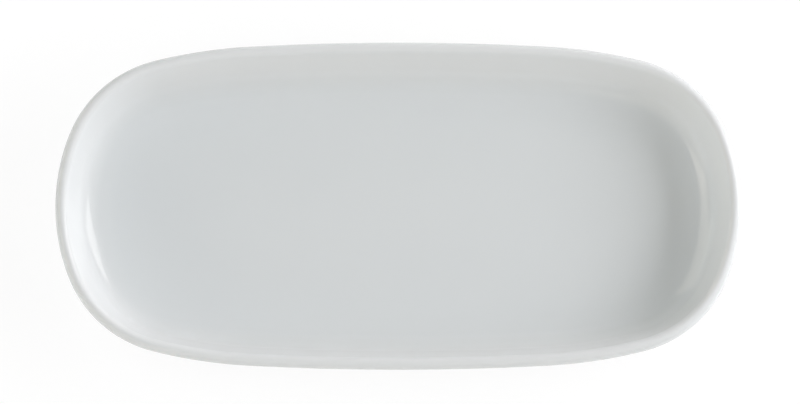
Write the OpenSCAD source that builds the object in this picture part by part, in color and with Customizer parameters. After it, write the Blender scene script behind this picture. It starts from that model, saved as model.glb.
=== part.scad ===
// Asparagus plate: a shallow oblong porcelain dish with bowed sides, a round lip and a foot ring.
// Millimetres, +Z up, +X along the length. The origin is the middle of the plate, on the table.

/* [Plate] */
// Length over the lip
plate_l = 330; // [300:1:380]
// Width over the lip
plate_w = 162; // [150:1:180]
// Depth of the dish, from the top of the lip to the floor
dish_depth = 19.5; // [15:0.5:26]

/* [Outline] */
// Radius of the bow of each long side
side_r = 1290; // [1000:10:2000]
// Length of each end, from where the bowed side gives way to a shoulder
end_l = 93; // [84:1:110]
// Radius of the shoulders, which lead each side into its corners
shoulder_r = 235; // [190:5:290]
// Direction, in degrees from the width's, at which a shoulder meets its corner
shoulder_angle = 14.5; // [13:0.5:17]
// Direction, in degrees from the width's, at which a corner meets its end
corner_angle = 68.5; // [64:0.5:72]

/* [Wall and floor] */
// Thickness of the wall, and so of its full-round lip
wall_t = 6; // [5:0.2:8]
// Sideways run of the wall, as a share of its rise
wall_run_share = 0.53; // [0.4:0.01:0.7]
// Radius of the cove inside, at the foot of the wall
cove_r = 14; // [8:0.5:18]
// Radius of the shallow sweep that leads the cove into the floor
sweep_r = 45; // [30:1:70]
// Width of the sweep, from the cove to the edge of the floor
sweep_l = 8; // [4:0.5:12]
// Radius of the heel outside, below the cove
heel_r = 16; // [10:0.5:20]
// Thickness of the floor
floor_t = 5; // [4:0.2:7]

/* [Foot ring] */
// Height of the foot ring below the underside
foot_h = 3; // [2.8:0.1:6]
// Width of the foot ring
foot_w = 5; // [4:0.2:7]
// Flat underside between the heel and the foot ring
foot_gap = 2.25; // [2:0.25:6]
// Rounding of the foot ring's lower edges
foot_edge_r = 1; // [0.4:0.1:1.6]
// Fillet in the glaze where the foot ring meets the underside
foot_fillet_r = 1.2; // [0.5:0.1:1.4]

/* [Glaze] */
// Thickness of the glaze coat
glaze_t = 0.3; // [0.25:0.05:0.5]
// Height of the wiped band at the bottom of the foot ring, which has no glaze
bare_h = 1.2; // [0.6:0.1:1.3]

/* [Hidden] */
// Overrun of shapes that are cut away or sunk into a neighbour
lap = 1;
// Width of the overlap between the swept rim and the flat sheet inside it
sheet_lap = 3;
// Length of the facets that stand for a curve in a mesh
facet_l = 4;
// Depth by which a sloping face is let into the round one it leads to, so that no sliver stays between
let_in = 0.0002;
// Steps in a millimetre to which the place of the foot ring is kept, so that its shapes meet exactly
foot_steps = 100;
$fn = 64;

// Heights
z_under = foot_h;
z_floor = z_under + floor_t;
z_lip = z_floor + dish_depth;

// The wall leans outwards: sine and cosine of its slope
wall_cos = wall_run_share / sqrt(1 + wall_run_share * wall_run_share);
wall_sin = wall_cos / wall_run_share;

// The same for the sweep, where it takes over from the cove
sweep_sin = sweep_l / sweep_r;
sweep_cos = sqrt(1 - sweep_sin * sweep_sin);

// Section of the rim: s is the distance in from the outer edge and z the height.
// The lip is a full round, and the wall's two faces are its tangents.
lip_r = wall_t / 2;
lip_z = z_lip - lip_r;
cove_z = z_floor + sweep_r - (sweep_r - cove_r) * sweep_cos;
cove_s = lip_r + lip_r * wall_sin + cove_r * wall_sin
    + (lip_z + lip_r * wall_cos - cove_z + cove_r * wall_cos) * wall_run_share;
sweep_z = z_floor + sweep_r;
floor_s = cove_s + (sweep_r - cove_r) * sweep_sin;
heel_z = z_under + heel_r;
heel_s = lip_r - lip_r * wall_sin + heel_r * wall_sin
    + (lip_z - lip_r * wall_cos - heel_z + heel_r * wall_cos) * wall_run_share;
foot_s = round((heel_s + foot_gap) * foot_steps) / foot_steps;
sheet_s = max(foot_s + foot_w, ceil(floor_s)) + sheet_lap;
rim_s = sheet_s + sheet_lap;

// Outline: each quarter is four arcs, each tangent to the next, from the middle of the side to the end.
// A direction is an angle from +Y towards +X. The side's is kept to whole hundredths of a degree,
// so that neighbouring sweeps end on the same plane.
angle_steps = 100;
side_angle = round(asin((plate_l / 2 - end_l) / side_r) * angle_steps) / angle_steps;
quarter_turn = 90;

function heading(a) = [sin(a), cos(a)];

side_c = [0, plate_w / 2 - side_r];
shoulder_c = side_c + (side_r - shoulder_r) * heading(side_angle);

// The corner's and the end's radii follow from the need to reach the end of the plate squarely:
// two linear equations, in x and in y, from the shoulder's centre to the end's, which lies on the X axis
u2 = heading(shoulder_angle);
u3 = heading(corner_angle);
reach = [plate_l / 2, 0] - shoulder_c - shoulder_r * u2;
closing = (u3[0] - u2[0]) * -u3[1] - (1 - u3[0]) * (u3[1] - u2[1]);
corner_r = (reach[0] * -u3[1] - (1 - u3[0]) * reach[1]) / closing;
end_r = ((u3[0] - u2[0]) * reach[1] - (u3[1] - u2[1]) * reach[0]) / closing;
corner_c = shoulder_c + (shoulder_r - corner_r) * u2;
end_c = [plate_l / 2 - end_r, 0];

// Whole units, whole thousandths and the rest of a length, set one after another.
// Written out one by one they keep the places of the arcs' centres to a millionth.
place_steps = 1000;
function whole(v) = floor(v);
function steps(v) = floor((v - whole(v)) * place_steps) / place_steps;
function rest(v) = v - whole(v) - steps(v);

module at(p) {
    translate([whole(p[0]), whole(p[1])])
        translate([steps(p[0]), steps(p[1])])
            translate([rest(p[0]), rest(p[1])])
                children();
}

// One arc of the rim: the section, which children() draw, swept about c from direction a to direction b
module arc_sweep(c, r, a, b) {
    at(c)
        rotate_extrude(start = quarter_turn - b, angle = b - a, $fn = ceil(2 * PI * r / facet_l))
            at([r, 0])
                mirror([1, 0])
                    children();
}

// The same shape at both ends of the X axis or of the Y axis
module both(axis) {
    children();
    mirror(axis)
        children();
}

// The section swept all round the outline
module rim_sweep() {
    both([0, 1])
        arc_sweep(side_c, side_r, -side_angle, side_angle)
            children();
    both([1, 0])
        both([0, 1]) {
            arc_sweep(shoulder_c, shoulder_r, side_angle, shoulder_angle)
                children();
            arc_sweep(corner_c, corner_r, shoulder_angle, corner_angle)
                children();
        }
    both([1, 0])
        arc_sweep(end_c, end_r, corner_angle, 2 * quarter_turn - corner_angle)
            children();
}

// Points of a quarter of the outline, set in by s: on the axes, where its arcs meet
// and halfway round the corner
function quarter_points(s) = [
    side_c + (side_r - s) * heading(0),
    side_c + (side_r - s) * heading(side_angle),
    shoulder_c + (shoulder_r - s) * u2,
    corner_c + (corner_r - s) * heading((shoulder_angle + corner_angle) / 2),
    end_c + (end_r - s) * u3,
    end_c + [end_r - s, 0],
];

function turned(points) = [for (i = [len(points) - 1:-1:0]) points[i]];
function mirrored(points, x, y) = [for (p = points) [p[0] * x, p[1] * y]];

// A flat sheet inside the swept rim, between heights z0 and z1
module sheet(z0, z1) {
    quarter = quarter_points(sheet_s);
    translate([0, 0, z0])
        linear_extrude(z1 - z0)
            polygon(concat(
                quarter,
                turned(mirrored(quarter, 1, -1)),
                mirrored(quarter, -1, -1),
                turned(mirrored(quarter, -1, 1))
            ));
}

// Section of lip, wall, cove, sweep, floor and heel, with every face set in by inset
module wall_section(inset) {
    across = [wall_sin, wall_cos];
    along = [-wall_cos, wall_sin];
    lip = lip_r - inset;
    cove = cove_r + inset;
    sweep = sweep_r + inset;
    heel = heel_r - inset;
    lip_c = [lip_r, lip_z];
    cove_c = [cove_s, cove_z];
    sweep_c = [floor_s, sweep_z];
    heel_c = [heel_s, heel_z];
    heel_top = heel_c - (heel - let_in) * across;
    heel_foot = heel_c - [0, heel];
    difference() {
        union() {
            polygon([
                lip_c - (lip - let_in) * across,
                lip_c + (lip - let_in) * across,
                cove_c - (cove - let_in) * across,
                sweep_c - [0, sweep],
                [rim_s, z_floor - inset],
                [rim_s, z_under + inset],
                heel_foot,
                heel_top
            ]);
            at(lip_c)
                circle(lip);
            // The heel bulges from the wall's foot to the underside, each a little way up its face
            intersection() {
                at(heel_c)
                    circle(heel);
                polygon([
                    heel_top + lap * along, heel_top - lap * across, [heel_top[0], 0], [heel_foot[0], 0],
                    heel_foot + [lap, 0]
                ]);
            }
        }
        at(cove_c)
            circle(cove);
        // The sweep starts where the line through both middles crosses the cove
        at(sweep_c)
            intersection() {
                circle(sweep);
                polygon([[0, 0], -2 * sweep * [sweep_sin, sweep_cos], 2 * sweep * [sweep_sin, -sweep_cos]]);
            }
    }
}

// Section of the foot ring, bare, down to the table
module foot_section() {
    translate([foot_s, foot_edge_r])
        square([foot_w, z_under]);
    translate([foot_s + foot_edge_r, 0])
        square([foot_w - 2 * foot_edge_r, z_under]);
    for (s = [foot_s + foot_edge_r, foot_s + foot_w - foot_edge_r])
        translate([s, foot_edge_r])
            circle(foot_edge_r);
}

// Section of the two fillets between foot ring and underside, with every face set in by inset.
// Each is a square in the corner less a circle.
module fillet_section(inset) {
    r = foot_fillet_r + inset;
    reach_s = glaze_t + foot_fillet_r;
    middles = [foot_s - reach_s, foot_s + foot_w + reach_s];
    for (side = [0, 1])
        translate([middles[side], z_under - foot_fillet_r])
            mirror([side, 0])
                difference() {
                    square([r + lap, r + lap]);
                    circle(r);
                }
}

// Section of the whole fired body
module body_section() {
    wall_section(glaze_t);
    foot_section();
    fillet_section(glaze_t);
}

// Section of the glaze alone, down to the wiped band
module glaze_section() {
    difference() {
        union() {
            wall_section(0);
            fillet_section(0);
            translate([foot_s - glaze_t, bare_h])
                square([foot_w + 2 * glaze_t, z_under]);
        }
        body_section();
    }
}

// Section of the underside within the middle of the foot ring
module within_foot() {
    translate([foot_s + foot_w / 2, 0])
        square([rim_s, z_under + floor_t / 2]);
}

// The fired porcelain, with its foot ring
module porcelain_body() {
    color("#e9e6df")
        union() {
            rim_sweep()
                body_section();
            sheet(z_under + glaze_t, z_floor - glaze_t);
        }
}

// The glass coat over the dish, round the lip and down the outside to the foot
module glaze_coat() {
    color("#f4f6f6")
        union() {
            rim_sweep()
                difference() {
                    glaze_section();
                    within_foot();
                }
            sheet(z_floor - glaze_t, z_floor);
        }
}

// The glass on the underside within the foot ring, which the wiped foot parts from the rest
module underside_glaze() {
    color("#eef1f1")
        union() {
            rim_sweep()
                intersection() {
                    glaze_section();
                    within_foot();
                }
            sheet(z_under, z_under + glaze_t);
        }
}

porcelain_body();
glaze_coat();
underside_glaze();
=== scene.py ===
"""A shallow oblong porcelain dish with bowed sides, under a clear glaze, seen from above.

The section and the outline are those of the CAD part. Metres, in its frame: +Z up, +X along the length, and
the origin on the table below the middle of the plate.
"""

import math

import bmesh
import bpy
import numpy as np
from mathutils import Matrix, Quaternion, Vector


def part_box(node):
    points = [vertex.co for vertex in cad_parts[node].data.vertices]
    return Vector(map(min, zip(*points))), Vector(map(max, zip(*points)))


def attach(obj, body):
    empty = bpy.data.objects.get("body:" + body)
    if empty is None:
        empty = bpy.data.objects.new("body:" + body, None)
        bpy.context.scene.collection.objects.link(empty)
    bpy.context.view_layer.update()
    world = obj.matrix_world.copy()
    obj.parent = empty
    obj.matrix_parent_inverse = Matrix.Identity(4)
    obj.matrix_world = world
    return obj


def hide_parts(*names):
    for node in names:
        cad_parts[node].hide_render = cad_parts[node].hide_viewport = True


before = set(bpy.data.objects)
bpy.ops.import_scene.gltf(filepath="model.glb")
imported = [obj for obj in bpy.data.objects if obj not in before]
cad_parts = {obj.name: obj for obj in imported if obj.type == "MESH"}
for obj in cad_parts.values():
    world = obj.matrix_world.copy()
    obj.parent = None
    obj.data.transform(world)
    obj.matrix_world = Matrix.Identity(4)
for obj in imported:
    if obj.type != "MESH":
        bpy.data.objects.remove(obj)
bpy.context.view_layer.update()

# Plate: its length, width and height over the glaze come from the frame
GLAZE_LOW, GLAZE_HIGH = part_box("glaze_coat")
PLATE_L = GLAZE_HIGH.x - GLAZE_LOW.x
PLATE_W = GLAZE_HIGH.y - GLAZE_LOW.y
Z_LIP = GLAZE_HIGH.z
DISH_DEPTH = 0.0195

# Outline: each quarter is four arcs, from the middle of the long side round to the end: side, shoulder,
# corner and end. Each end takes up END_L of the length. The shoulder, the corner and the end reach to these
# directions, in degrees from the width's.
SIDE_R = 1.290
END_L = 0.093
SHOULDER_R = 0.235
SHOULDER_ANGLE = 14.5
CORNER_ANGLE = 68.5
END_ANGLE = 90.0

# Wall and floor. The wall's run is this share of its rise. The cove leads it into the shallow sweep, which
# leads into the flat floor, and the heel rounds it off below.
WALL_T = 0.006
WALL_RUN_SHARE = 0.53
COVE_R = 0.014
SWEEP_R = 0.045
SWEEP_L = 0.008
HEEL_R = 0.016

# Foot ring, set in from the heel by a gap
FOOT_H = 0.003
FOOT_W = 0.005
FOOT_GAP = 0.00225
FOOT_EDGE_R = 0.001
FOOT_FILLET_R = 0.0012

# Glaze, and the bare height of the foot below it
GLAZE_T = 0.0003
BARE_H = 0.0012

# Meshing: longest step along the outline, along the section and between the rings of the flat faces, and
# longest turn of an arc in degrees. Points of a section that are nearer than SAME_POINT are one.
STATION_STEP = 0.0018
SECTION_STEP = 0.0009
RING_STEP = 0.005
ARC_STEP = 7.0
SAME_POINT = 0.000005

# Directions in a section, in degrees: towards the middle of the plate, up, towards its edge, and down
TO_MIDDLE, UP, TO_EDGE, DOWN, FULL_TURN = 0, 90, 180, 270, 360

# Camera: the photograph's size in pixels, the camera's height above the table in degrees, the width of the
# strip that the photograph covers at the lip, and the pixel that the middle of the plate falls on.
# CAMERA_REACH is how far it sees, and the sensor's width is in millimetres.
IMAGE_W, IMAGE_H = 800, 404
CAMERA_ELEVATION = 76.0
CAMERA_DISTANCE = 6.0
CAMERA_REACH = 24.0
STRIP_W = 0.3848
CENTRE_PX = (398.3, 205.7)
SENSOR_W = 36.0

# Section, worked out: its points are (distance in from the outline, height). WALL_COS and WALL_SIN are those
# of the wall's slope, and WALL_ANGLE is the direction that its inner face looks in.
Z_UNDER = FOOT_H
Z_FLOOR = Z_LIP - DISH_DEPTH
LIP_R = WALL_T / 2
LIP_Z = Z_LIP - LIP_R
WALL_COS = WALL_RUN_SHARE / math.hypot(1, WALL_RUN_SHARE)
WALL_SIN = WALL_COS / WALL_RUN_SHARE
WALL_ANGLE = math.degrees(math.atan2(WALL_COS, WALL_SIN))
SWEEP_SIN = SWEEP_L / SWEEP_R
SWEEP_COS = math.sqrt(1 - SWEEP_SIN ** 2)
SWEEP_ANGLE = math.degrees(math.asin(SWEEP_SIN))
COVE_Z = Z_FLOOR + SWEEP_R - (SWEEP_R - COVE_R) * SWEEP_COS
COVE = Vector((
    LIP_R + (LIP_R + COVE_R) * WALL_SIN + (LIP_Z - COVE_Z + (LIP_R + COVE_R) * WALL_COS) * WALL_RUN_SHARE,
    COVE_Z,
))
SWEEP = Vector((COVE.x + (SWEEP_R - COVE_R) * SWEEP_SIN, Z_FLOOR + SWEEP_R))
HEEL = Vector((
    LIP_R + (HEEL_R - LIP_R) * WALL_SIN
    + (LIP_Z - Z_UNDER - HEEL_R + (HEEL_R - LIP_R) * WALL_COS) * WALL_RUN_SHARE,
    Z_UNDER + HEEL_R,
))
LIP = Vector((LIP_R, LIP_Z))
FOOT_S = HEEL.x + FOOT_GAP


def heading(angle):
    """Unit vector at this angle in degrees from the width's direction."""
    return Vector((math.sin(math.radians(angle)), math.cos(math.radians(angle))))


def outline_arcs():
    """Centre, radius, first and last direction of the four arcs of a quarter of the outline."""
    side_angle = math.degrees(math.asin((PLATE_L / 2 - END_L) / SIDE_R))
    side_c = Vector((0, PLATE_W / 2 - SIDE_R))
    shoulder_c = side_c + (SIDE_R - SHOULDER_R) * heading(side_angle)
    u2, u3 = heading(SHOULDER_ANGLE), heading(CORNER_ANGLE)
    reach = Vector((PLATE_L / 2, 0)) - shoulder_c - SHOULDER_R * u2
    # The corner's and the end's radii carry the outline squarely to the end of the plate
    terms = np.array([[u3.x - u2.x, 1 - u3.x], [u3.y - u2.y, -u3.y]])
    corner_r, end_r = (float(r) for r in np.linalg.solve(terms, np.array(reach)))
    corner_c = shoulder_c + (SHOULDER_R - corner_r) * u2
    end_c = Vector((PLATE_L / 2 - end_r, 0))
    return [
        (side_c, SIDE_R, 0.0, side_angle),
        (shoulder_c, SHOULDER_R, side_angle, SHOULDER_ANGLE),
        (corner_c, corner_r, SHOULDER_ANGLE, CORNER_ANGLE),
        (end_c, end_r, CORNER_ANGLE, END_ANGLE),
    ]


def outline_stations():
    """Points of the whole outline and the outward direction at each.

    They run clockwise, seen from above, from the middle of the far side.
    """
    places, outward = [], []
    for centre, radius, first, last in outline_arcs():
        count = math.ceil(radius * math.radians(last - first) / STATION_STEP)
        for angle in np.linspace(first, last, count, endpoint=False):
            places.append(centre + radius * heading(angle))
            outward.append(heading(angle))
    places.append(Vector((PLATE_L / 2, 0)))
    outward.append(heading(END_ANGLE))
    places, outward = np.array(places), np.array(outward)

    def all_round(quarter):
        """The quarter and its three mirror images, each point once."""
        right_front = (quarter * (1, -1))[::-1][1:]
        left_front = (quarter * (-1, -1))[1:]
        left_back = (quarter * (-1, 1))[::-1][1:-1]
        return np.concatenate([quarter, right_front, left_front, left_back])

    return all_round(places), all_round(outward)


STATIONS, OUTWARD = outline_stations()


def arc(centre, radius, first, last):
    """Points of a section's arc, from the first direction to the last."""
    turn = abs(last - first)
    count = max(math.ceil(turn / ARC_STEP), math.ceil(math.radians(turn) * radius / SECTION_STEP))
    angles = np.radians(np.linspace(first, last, count + 1))
    return [(centre[0] + radius * math.cos(a), centre[1] + radius * math.sin(a)) for a in angles]


def filled(points):
    """The same section with its long straight stretches cut into steps."""
    out = [points[0]]
    for a, b in zip(points, points[1:]):
        length = math.dist(a, b)
        if length < SAME_POINT:
            continue
        count = math.ceil(length / SECTION_STEP)
        out += [tuple(np.add(a, np.subtract(b, a) * k / count)) for k in range(1, count + 1)]
    return out


def shell_path(inset, foot_path):
    """Section from the floor's edge up the wall, over the lip and down the outside, then along foot_path.

    Every face is set in by inset.
    """
    points = arc(SWEEP, SWEEP_R + inset, DOWN, DOWN - SWEEP_ANGLE)
    points += arc(COVE, COVE_R + inset, DOWN - SWEEP_ANGLE, TO_EDGE + WALL_ANGLE)
    points += arc(LIP, LIP_R - inset, TO_MIDDLE + WALL_ANGLE, TO_EDGE + WALL_ANGLE)
    points += arc(HEEL, HEEL_R - inset, TO_EDGE + WALL_ANGLE, DOWN)
    return points + foot_path


def outer_fillet(inset):
    """Concave fillet from the underside down to the foot ring's outer face."""
    centre = (FOOT_S - GLAZE_T - FOOT_FILLET_R, FOOT_H - FOOT_FILLET_R)
    return arc(centre, FOOT_FILLET_R + inset, UP, TO_MIDDLE)


def inner_fillet(inset):
    """Concave fillet from the foot ring's inner face up to the underside."""
    centre = (FOOT_S + FOOT_W + GLAZE_T + FOOT_FILLET_R, FOOT_H - FOOT_FILLET_R)
    return arc(centre, FOOT_FILLET_R + inset, TO_EDGE, UP)


def glaze_bead(middle_s):
    """The glaze's rounded lower edge, at the wiped line, from its outer face to its inner one."""
    return arc((middle_s, BARE_H + GLAZE_T / 2), GLAZE_T / 2, TO_EDGE, FULL_TURN)


def foot_ring():
    """Section of the foot ring below its fillets: outer face, standing face and inner face."""
    points = arc((FOOT_S + FOOT_EDGE_R, FOOT_EDGE_R), FOOT_EDGE_R, TO_EDGE, DOWN)
    return points + arc((FOOT_S + FOOT_W - FOOT_EDGE_R, FOOT_EDGE_R), FOOT_EDGE_R, DOWN, FULL_TURN)


def swept_rings(points):
    """Vertices of a section swept round the outline, ring by ring."""
    count = len(STATIONS)
    rings = [np.column_stack([STATIONS - s * OUTWARD, np.full(count, z)]) for s, z in points]
    return [tuple(v) for v in np.concatenate(rings)]


def band(first, second):
    """Quads between two rings that start at these vertices."""
    count = len(STATIONS)
    return [
        (first + i, first + (i + 1) % count, second + (i + 1) % count, second + i)
        for i in range(count)
    ]


def disc(start, point, total):
    """Flat rings from the ring at vertex start, whose section point is point, in to a middle point."""
    inset, z = point
    edge = STATIONS - inset * OUTWARD
    steps = math.ceil(PLATE_W / 2 / RING_STEP)
    verts, faces = [], []
    outer = start
    for k in range(1, steps):
        first = total + len(verts)
        verts += [(x * (1 - k / steps), y * (1 - k / steps), z) for x, y in edge]
        faces += band(outer, first)
        outer = first
    middle = total + len(verts)
    verts.append((0, 0, z))
    count = len(STATIONS)
    faces += [(outer + i, outer + (i + 1) % count, middle) for i in range(count)]
    return verts, faces


def solid(name, path):
    """One closed mesh from a section swept round the outline.

    The section is open or closed on itself. The ends of an open one are filled with flat discs.
    """
    points = filled(path)
    closed = math.dist(points[0], points[-1]) < SAME_POINT
    if closed:
        points = points[:-1]
    verts, faces = swept_rings(points), []
    starts = [k * len(STATIONS) for k in range(len(points))]
    for first, second in zip(starts, starts[1:]):
        faces += band(first, second)
    if closed:
        faces += band(starts[-1], starts[0])
    else:
        for start, point in ((starts[0], points[0]), (starts[-1], points[-1])):
            more_verts, more_faces = disc(start, point, len(verts))
            verts += more_verts
            faces += more_faces
    mesh = bpy.data.meshes.new(name)
    mesh.from_pydata(verts, [], faces)
    shape = bmesh.new()
    shape.from_mesh(mesh)
    bmesh.ops.recalc_face_normals(shape, faces=shape.faces)
    shape.to_mesh(mesh)
    shape.free()
    mesh.polygons.foreach_set("use_smooth", [True] * len(mesh.polygons))
    obj = bpy.data.objects.new(name, mesh)
    bpy.context.scene.collection.objects.link(obj)
    return obj


def porcelain_body():
    """The fired body, with its foot ring down to the table."""
    foot = outer_fillet(GLAZE_T) + foot_ring() + inner_fillet(GLAZE_T)
    return solid("porcelain", shell_path(GLAZE_T, foot))


def glaze_coat():
    """The glaze over the dish, round the lip and down the outside to the wiped line on the foot."""
    outside = shell_path(0, outer_fillet(0) + glaze_bead(FOOT_S - GLAZE_T / 2))
    inside = shell_path(GLAZE_T, outer_fillet(GLAZE_T))
    return solid("glaze", outside + inside[::-1])


def underside_glaze():
    """The glaze on the underside within the foot ring."""
    outside = glaze_bead(FOOT_S + FOOT_W + GLAZE_T / 2) + inner_fillet(0)
    inside = inner_fillet(GLAZE_T)
    return solid("glaze_within_foot", inside[::-1] + outside)


class Nodes:
    """The node tree of a material or world, with short calls for its nodes and links."""

    def __init__(self, owner):
        owner.use_nodes = True
        self.tree = owner.node_tree

    def add(self, kind, **settings):
        """A new node with these settings."""
        node = self.tree.nodes.new(kind)
        for key, value in settings.items():
            setattr(node, key, value)
        return node

    def link(self, output, socket):
        """The output wired to the socket."""
        self.tree.links.new(output, socket)

    def place(self, kind):
        """Coordinates of this kind."""
        return self.add("ShaderNodeTexCoord").outputs[kind]

    def noise(self, size, detail, roughness=0.5):
        """Soft noise from 0 to 1, with features of about this size in metres."""
        node = self.add("ShaderNodeTexNoise")
        self.link(self.place("Object"), node.inputs["Vector"])
        node.inputs["Scale"].default_value = 1 / size
        node.inputs["Detail"].default_value = detail
        node.inputs["Roughness"].default_value = roughness
        return node.outputs["Fac"]

    def height(self, kind="Object"):
        """Height above the table or, of Generated coordinates, the sine of a direction's height."""
        node = self.add("ShaderNodeSeparateXYZ")
        self.link(self.place(kind), node.inputs[0])
        return node.outputs["Z"]

    def ramp(self, value, low, high, out_low=0.0, out_high=1.0):
        """value from low to high turned smoothly into out_low to out_high."""
        node = self.add("ShaderNodeMapRange", interpolation_type="SMOOTHSTEP")
        self.link(value, node.inputs["Value"])
        ends = {"From Min": low, "From Max": high, "To Min": out_low, "To Max": out_high}
        for name, number in ends.items():
            node.inputs[name].default_value = number
        return node.outputs["Result"]

    def join(self, first, second, kind="ShaderNodeMath", **settings):
        """Two outputs joined by a node of this kind."""
        node = self.add(kind, **settings)
        self.link(first, node.inputs[0])
        self.link(second, node.inputs[1])
        return node.outputs[0]

    def times(self, first, second):
        """Two outputs multiplied."""
        return self.join(first, second, operation="MULTIPLY")

    def mix(self, share, first, second):
        """Colour that goes from first to second. Each is a colour or an output."""
        node = self.add("ShaderNodeMix", data_type="RGBA")
        self.link(share, node.inputs["Factor"])
        for name, colour in (("A", first), ("B", second)):
            socket = next(s for s in node.inputs if s.name == name and s.type == "RGBA")
            if isinstance(colour, tuple):
                socket.default_value = (*colour, 1)
            else:
                self.link(colour, socket)
        return next(s for s in node.outputs if s.type == "RGBA")

    def shader(self, kind, socket, value):
        """A shader of this kind with one of its sockets set."""
        node = self.add(kind)
        node.inputs[socket].default_value = value
        return node.outputs[0]

    def background(self, plain, white, output, share=None):
        """Fills output with the plain shader, and with the white one where the background shows.

        That is to the camera, in reflections and through glass, and only by the share if there is one.
        """
        path = self.add("ShaderNodeLightPath")
        seen = path.outputs["Is Camera Ray"]
        for name in ("Is Glossy Ray", "Is Transmission Ray"):
            seen = self.join(seen, path.outputs[name], operation="MAXIMUM")
        if share:
            seen = self.times(share, seen)
        choice = self.add("ShaderNodeMixShader")
        self.link(seen, choice.inputs[0])
        self.link(plain, choice.inputs[1])
        self.link(white, choice.inputs[2])
        self.link(choice.outputs[0], self.add(output).inputs["Surface"])


class Surface(Nodes):
    """The node tree of a new material, round its Principled shader."""

    def __init__(self, name):
        self.material = bpy.data.materials.new(name)
        super().__init__(self.material)
        self.inputs = self.tree.nodes["Principled BSDF"].inputs

    def bump(self, layers):
        """Bumps one over another. layers lists (height from 0 to 1, its depth in metres)."""
        normal = None
        for value, depth in layers:
            node = self.add("ShaderNodeBump")
            node.inputs["Strength"].default_value = 1
            node.inputs["Distance"].default_value = depth
            self.link(value, node.inputs["Height"])
            if normal:
                self.link(normal, node.inputs["Normal"])
            normal = node.outputs["Normal"]
        self.link(normal, self.inputs["Normal"])


# Glaze: its colours where it is plain, clouded, pooled in the cove, and lighter on the lip's top as painted
# light. Each pair of heights is where a change begins and ends: the pool's start and its end, above the
# floor, and the start of the lip's painted light, below the lip's top. GLAZE_ROUGHNESS is from the smoothest
# to the roughest.
GLAZE_WHITE = (0.750, 0.775, 0.780)
GLAZE_CLOUD = (0.744, 0.770, 0.776)
GLAZE_POOLED = (0.742, 0.770, 0.776)
# Painted light: a lighter glaze colour over the top of the lip, standing for light falling on it
GLAZE_PAINTED_LIP_LIGHT = (0.786, 0.805, 0.807)
POOL_START = (0.0001, 0.0012)
POOL_END = (0.0035, 0.009)
PAINTED_LIP_LIGHT_DEPTH = (0.0009, 0.0001)
GLAZE_ROUGHNESS = (0.02, 0.05)
GLAZE_IOR = 1.5

# Noise: each is (size of its features, levels of detail), and a share pair is the range of the noise over
# which what it drives goes from none to full
CLOUDS, CLOUD_SHARES = (0.045, 3), (0.35, 0.7)
SHEEN, SHEEN_SHARES = (0.018, 3), (0.3, 0.75)
RIPPLE, RIPPLE_DEPTH = (0.012, 1), 0.000016
ORANGE_PEEL, ORANGE_PEEL_DEPTH = (0.0016, 1), 0.0000006

# Biscuit: its colours where it is plain, in the grain and rubbed, and the height up to which it is rubbed.
# The grain's noise also has a roughness.
BISCUIT = (0.74, 0.72, 0.67)
BISCUIT_GRAIN = (0.62, 0.59, 0.53)
BISCUIT_RUBBED = (0.62, 0.60, 0.55)
RUBBED_H = 0.0004
BISCUIT_ROUGHNESS = (0.7, 0.92)
GRAIN, GRAIN_SHARES, GRAIN_DEPTH = (0.0004, 4, 0.65), (0.45, 0.75), 0.00006
GRAIN_SHEEN_SHARES = (0.2, 0.8)
RUBBING, RUBBING_SHARES = (0.006, 3), (0.4, 0.7)
UNEVEN, UNEVEN_DEPTH = (0.003, 3), 0.00005


def clear_glaze():
    """Glossy white: whiter on the lip's top as painted light, pooled and cooler in the cove, with the
    faintest ripple.
    """
    nodes = Surface("clear_glaze")
    clouds = nodes.ramp(nodes.noise(*CLOUDS), *CLOUD_SHARES)
    z = nodes.height()
    above_floor = nodes.ramp(z, *(Z_FLOOR + height for height in POOL_START))
    below_wall = nodes.ramp(z, *(Z_FLOOR + height for height in POOL_END), 1, 0)
    pooled = nodes.times(above_floor, below_wall)
    # Painted light: the glaze's colour is made lighter over the top of the lip
    painted_lip_light = nodes.ramp(z, *(Z_LIP - depth for depth in PAINTED_LIP_LIGHT_DEPTH))
    colour = nodes.mix(clouds, GLAZE_WHITE, GLAZE_CLOUD)
    colour = nodes.mix(pooled, colour, GLAZE_POOLED)
    colour = nodes.mix(painted_lip_light, colour, GLAZE_PAINTED_LIP_LIGHT)
    nodes.link(colour, nodes.inputs["Base Color"])
    roughness = nodes.ramp(nodes.noise(*SHEEN), *SHEEN_SHARES, *GLAZE_ROUGHNESS)
    nodes.link(roughness, nodes.inputs["Roughness"])
    nodes.inputs["IOR"].default_value = GLAZE_IOR
    nodes.bump([(nodes.noise(*RIPPLE), RIPPLE_DEPTH), (nodes.noise(*ORANGE_PEEL), ORANGE_PEEL_DEPTH)])
    return nodes.material


def biscuit_porcelain():
    """Matt fired clay: a fine grain, rubbed slightly grey where the foot stands."""
    nodes = Surface("biscuit_porcelain")
    grain = nodes.noise(*GRAIN)
    touching = nodes.ramp(nodes.height(), 0, RUBBED_H, 1, 0)
    rubbed = nodes.times(touching, nodes.ramp(nodes.noise(*RUBBING), *RUBBING_SHARES))
    colour = nodes.mix(nodes.ramp(grain, *GRAIN_SHARES), BISCUIT, BISCUIT_GRAIN)
    nodes.link(nodes.mix(rubbed, colour, BISCUIT_RUBBED), nodes.inputs["Base Color"])
    roughness = nodes.ramp(grain, *GRAIN_SHEEN_SHARES, *BISCUIT_ROUGHNESS)
    nodes.link(roughness, nodes.inputs["Roughness"])
    nodes.bump([(grain, GRAIN_DEPTH), (nodes.noise(*UNEVEN), UNEVEN_DEPTH)])
    return nodes.material


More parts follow.
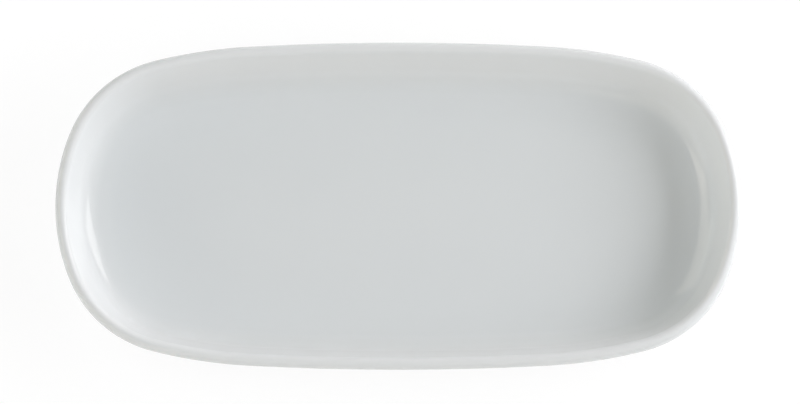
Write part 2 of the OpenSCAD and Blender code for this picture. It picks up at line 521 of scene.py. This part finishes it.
def place_pieces():
    """Builds the three pieces in place of their nodes, on the part's one body."""
    glaze, biscuit = clear_glaze(), biscuit_porcelain()
    for build, node, slot, material in (
        (porcelain_body, "porcelain_body", "biscuit_porcelain", biscuit),
        (glaze_coat, "glaze_coat", "clear_glaze", glaze),
        (underside_glaze, "underside_glaze", "clear_glaze", glaze),
    ):
        piece = build()
        piece.data.materials.append(material)
        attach(piece, "root")
        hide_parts(node)


# Floor: the colour that lights the plate, and the glow and colour that the camera sees it by
FLOOR_SIZE = 8.0
FLOOR_WHITE = 0.8
FLOOR_SEEN_GLOW = 0.86
FLOOR_SEEN_WHITE = 0.17


def white_floor():
    """A matt white table, seen as white with a faint shadow."""
    half = FLOOR_SIZE / 2
    corners = [(-half, -half, 0), (half, -half, 0), (half, half, 0), (-half, half, 0)]
    mesh = bpy.data.meshes.new("floor")
    mesh.from_pydata(corners, [], [(0, 1, 2, 3)])
    floor = bpy.data.objects.new("floor", mesh)
    bpy.context.scene.collection.objects.link(floor)
    material = bpy.data.materials.new("floor_white")
    nodes = Nodes(material)
    nodes.tree.nodes.clear()
    matt = nodes.shader("ShaderNodeBsdfDiffuse", "Color", (FLOOR_WHITE,) * 3 + (1,))
    seen = nodes.shader("ShaderNodeBsdfDiffuse", "Color", (FLOOR_SEEN_WHITE,) * 3 + (1,))
    glow = nodes.shader("ShaderNodeEmission", "Strength", FLOOR_SEEN_GLOW)
    white = nodes.join(seen, glow, kind="ShaderNodeAddShader")
    nodes.background(matt, white, "ShaderNodeOutputMaterial")
    mesh.materials.append(material)


# Lamps that light the plate, and cards that only its glaze mirrors. Each has a name, its direction in
# degrees from the width's towards +X, its height in degrees above the table, its width and height in degrees
# as seen from the plate, its radiance, its colour and, if it leans, its roll in degrees.
LAMPS = [
    ("key", 88, 22.5, 66, 21, 6.7, (0.98, 0.985, 1.03)),
    ("fill", -92, 57, 76, 38, 1.25, (0.88, 0.99, 1.12)),
    ("left_low", -85, 12, 70, 16, 1.05, (1.15, 1.03, 0.85)),
    ("front_low", -145, 11, 44, 16, 2.75, (1.07, 1.0, 0.93)),
    ("back_low", 32, 9, 50, 14, 3.75, (1.05, 0.97, 1.0)),
    ("front", 175, 30, 60, 45, 0.18, (1.0, 0.9, 1.05)),
]
CARDS = [
    ("window", 64, 30, 36, 17, 3.2, (1.0, 1.0, 1.0), 52),
    ("wall_high", -64, 41, 44, 32, 1.2, (1.12, 1.02, 0.88)),
    ("wall_low", -58, 12, 26, 26, 1.1, (1.12, 1.04, 0.88)),
    ("wall_front", -125, 32, 70, 56, 0.7, (1.12, 1.05, 0.88)),
    ("wall_back", 24, 32, 44, 56, 0.4, (1.1, 0.95, 0.98)),
]
BOX_DISTANCE = 3.0

# The room: its plain light, and the white backdrop all round, which fades out between these heights, in
# degrees above the table
ROOM_LIGHT = (0.263, 0.240, 0.195)
BACKDROP_FULL = 9.0
BACKDROP_END = 15.0


def soft_box(name, azimuth, elevation, width, height, radiance, colour, roll=0, mirrored=False):
    """A rectangular lamp that faces the plate. It shows in the glaze if mirrored, and else lights it."""
    flat = heading(azimuth) * math.cos(math.radians(elevation))
    away = Vector((flat.x, flat.y, math.sin(math.radians(elevation))))
    lamp = bpy.data.lights.new(name, "AREA")
    lamp.shape = "RECTANGLE"
    lamp.size = 2 * BOX_DISTANCE * math.tan(math.radians(width / 2))
    lamp.size_y = 2 * BOX_DISTANCE * math.tan(math.radians(height / 2))
    lamp.energy = radiance * math.pi * lamp.size * lamp.size_y
    lamp.color = colour
    obj = bpy.data.objects.new(name, lamp)
    lean = Quaternion((0, 0, 1), math.radians(roll))
    obj.rotation_euler = (away.to_track_quat("Z", "Y") @ lean).to_euler()
    obj.location = away * BOX_DISTANCE
    obj.visible_camera = False
    obj.visible_glossy = mirrored
    obj.visible_diffuse = not mirrored
    bpy.context.scene.collection.objects.link(obj)


def room():
    """A plain dim room with a white backdrop all round, low down."""
    world = bpy.data.worlds.new("studio")
    bpy.context.scene.world = world
    nodes = Nodes(world)
    nodes.tree.nodes.clear()
    plain = nodes.shader("ShaderNodeBackground", "Color", (*ROOM_LIGHT, 1))
    white = nodes.shader("ShaderNodeBackground", "Color", (1, 1, 1, 1))
    full, end = (math.sin(math.radians(angle)) for angle in (BACKDROP_FULL, BACKDROP_END))
    low = nodes.ramp(nodes.height("Generated"), full, end, 1, 0)
    nodes.background(plain, white, "ShaderNodeOutputWorld", share=low)


def camera():
    """A long lens, high on the near side, framed as the photograph is."""
    tilt = math.radians(CAMERA_ELEVATION)
    back = Vector((0, -math.cos(tilt), math.sin(tilt)))
    right = Vector((1, 0, 0))
    up = back.cross(right)
    pixel = STRIP_W / IMAGE_W
    middle = Vector((0, 0, LIP_Z))
    middle += right * (IMAGE_W / 2 - CENTRE_PX[0]) * pixel + up * (CENTRE_PX[1] - IMAGE_H / 2) * pixel
    data = bpy.data.cameras.new("camera")
    data.sensor_width = SENSOR_W
    data.lens = SENSOR_W * CAMERA_DISTANCE / STRIP_W
    data.clip_end = CAMERA_REACH
    obj = bpy.data.objects.new("camera", data)
    turn = Matrix((right, up, back)).transposed().to_4x4()
    obj.matrix_world = Matrix.Translation(middle + back * CAMERA_DISTANCE) @ turn
    bpy.context.scene.collection.objects.link(obj)
    bpy.context.scene.camera = obj


place_pieces()
white_floor()
for lamp in LAMPS:
    soft_box(*lamp)
for card in CARDS:
    soft_box(*card, mirrored=True)
room()
camera()
bpy.context.scene.view_settings.view_transform = "Standard"
